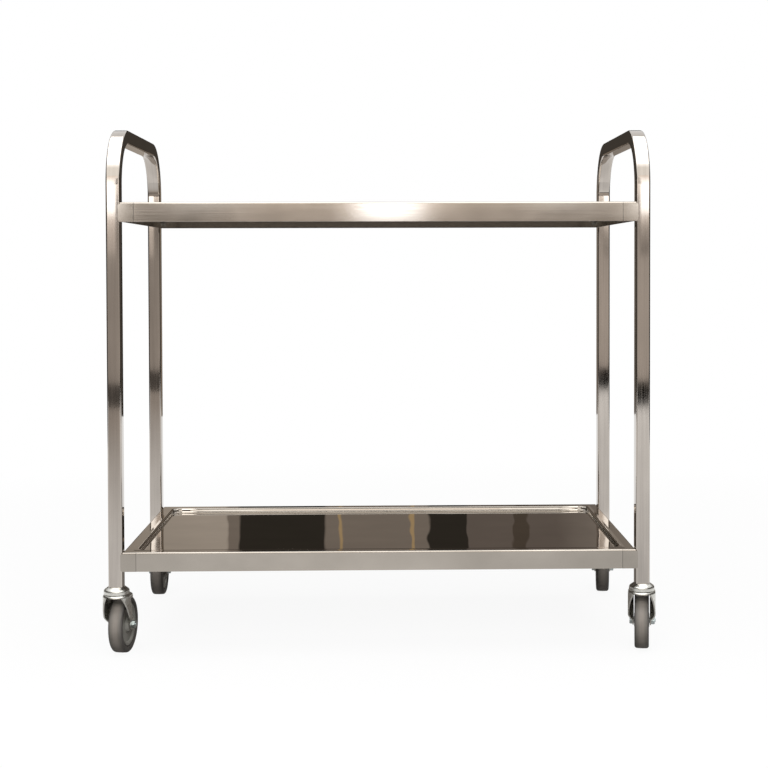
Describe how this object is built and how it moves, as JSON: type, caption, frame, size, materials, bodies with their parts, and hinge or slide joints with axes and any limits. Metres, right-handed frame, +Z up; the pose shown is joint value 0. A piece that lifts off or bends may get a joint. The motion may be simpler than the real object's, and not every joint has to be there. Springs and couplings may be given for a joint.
{
  "type": "serving trolley",
  "caption": "Tiered stainless serving trolley: bent square-tube end frames that form push handles, pressed rimmed trays bolted between them, and swivel casters.",
  "frame": {"origin": "on the floor, midway between the four legs", "axes": "+X along the trolley to the right seen from the front, +Y to the back, +Z up"},
  "size_m": [0.9802, 0.5844, 0.93],
  "materials": {
    "stainless_tube": "fine brushed, bright",
    "stainless_sheet": "fine brushed skirts, mirror-bright floor",
    "zinc_pressing": "bright zinc plated",
    "zinc_fastener": "zinc plated",
    "bearing_steel": "polished",
    "grey_rubber": "matt, lightly worn",
    "hub_plastic": "satin",
    "nylon": "satin"
  },
  "bodies": {
    "frame": {"left_end_frame": "stainless_tube", "right_end_frame": "stainless_tube", "left_rivet_nuts": "zinc_fastener", "right_rivet_nuts": "zinc_fastener", "upper_tray": "stainless_sheet", "upper_tray_bolts": "zinc_fastener", "upper_tray_washers": "zinc_fastener", "lower_tray": "stainless_sheet", "lower_tray_bolts": "zinc_fastener", "lower_tray_washers": "zinc_fastener", "leg_plugs": "zinc_fastener", "front_left_caster_stem": "zinc_fastener", "front_left_swivel_cap": "zinc_pressing", "front_right_caster_stem": "zinc_fastener", "front_right_swivel_cap": "zinc_pressing", "back_left_caster_stem": "zinc_fastener", "back_left_swivel_cap": "zinc_pressing", "back_right_caster_stem": "zinc_fastener", "back_right_swivel_cap": "zinc_pressing"},
    "front_left_swivel": {"front_left_fork": "zinc_pressing", "front_left_swivel_balls": "bearing_steel", "front_left_axle_bolt": "zinc_fastener", "front_left_axle_nut": "zinc_fastener", "front_left_axle_sleeve": "zinc_fastener"},
    "front_left_wheel": {"front_left_wheel_hub": "hub_plastic", "front_left_tyre": "grey_rubber", "front_left_hub_bush": "nylon"},
    "front_right_swivel": {"front_right_fork": "zinc_pressing", "front_right_swivel_balls": "bearing_steel", "front_right_axle_bolt": "zinc_fastener", "front_right_axle_nut": "zinc_fastener", "front_right_axle_sleeve": "zinc_fastener"},
    "front_right_wheel": {"front_right_wheel_hub": "hub_plastic", "front_right_tyre": "grey_rubber", "front_right_hub_bush": "nylon"},
    "back_left_swivel": {"back_left_fork": "zinc_pressing", "back_left_swivel_balls": "bearing_steel", "back_left_axle_bolt": "zinc_fastener", "back_left_axle_nut": "zinc_fastener", "back_left_axle_sleeve": "zinc_fastener"},
    "back_left_wheel": {"back_left_wheel_hub": "hub_plastic", "back_left_tyre": "grey_rubber", "back_left_hub_bush": "nylon"},
    "back_right_swivel": {"back_right_fork": "zinc_pressing", "back_right_swivel_balls": "bearing_steel", "back_right_axle_bolt": "zinc_fastener", "back_right_axle_nut": "zinc_fastener", "back_right_axle_sleeve": "zinc_fastener"},
    "back_right_wheel": {"back_right_wheel_hub": "hub_plastic", "back_right_tyre": "grey_rubber", "back_right_hub_bush": "nylon"}
  },
  "joints": [
    {"name": "front_left_swivel_turn", "type": "hinge", "parent": "frame", "child": "front_left_swivel", "pos_m": [-0.4625, -0.2375, 0.11], "axis": [0, 0, 1], "continuous": true},
    {"name": "front_left_wheel_spin", "type": "hinge", "parent": "front_left_swivel", "child": "front_left_wheel", "pos_m": [-0.45751, -0.20286, 0.05], "axis": [0.9898, -0.1426, 0], "continuous": true},
    {"name": "front_right_swivel_turn", "type": "hinge", "parent": "frame", "child": "front_right_swivel", "pos_m": [0.4625, -0.2375, 0.11], "axis": [0, 0, 1], "continuous": true},
    {"name": "front_right_wheel_spin", "type": "hinge", "parent": "front_right_swivel", "child": "front_right_wheel", "pos_m": [0.46858, -0.20303, 0.05], "axis": [0.9848, -0.1736, 0], "continuous": true},
    {"name": "back_left_swivel_turn", "type": "hinge", "parent": "frame", "child": "back_left_swivel", "pos_m": [-0.4625, 0.2375, 0.11], "axis": [0, 0, 1], "continuous": true},
    {"name": "back_left_wheel_spin", "type": "hinge", "parent": "back_left_swivel", "child": "back_left_wheel", "pos_m": [-0.46226, 0.2725, 0.05], "axis": [1, -0.007, 0], "continuous": true},
    {"name": "back_right_swivel_turn", "type": "hinge", "parent": "frame", "child": "back_right_swivel", "pos_m": [0.4625, 0.2375, 0.11], "axis": [0, 0, 1], "continuous": true},
    {"name": "back_right_wheel_spin", "type": "hinge", "parent": "back_right_swivel", "child": "back_right_wheel", "pos_m": [0.46634, 0.27229, 0.05], "axis": [0.994, -0.1097, 0], "continuous": true}
  ]
}
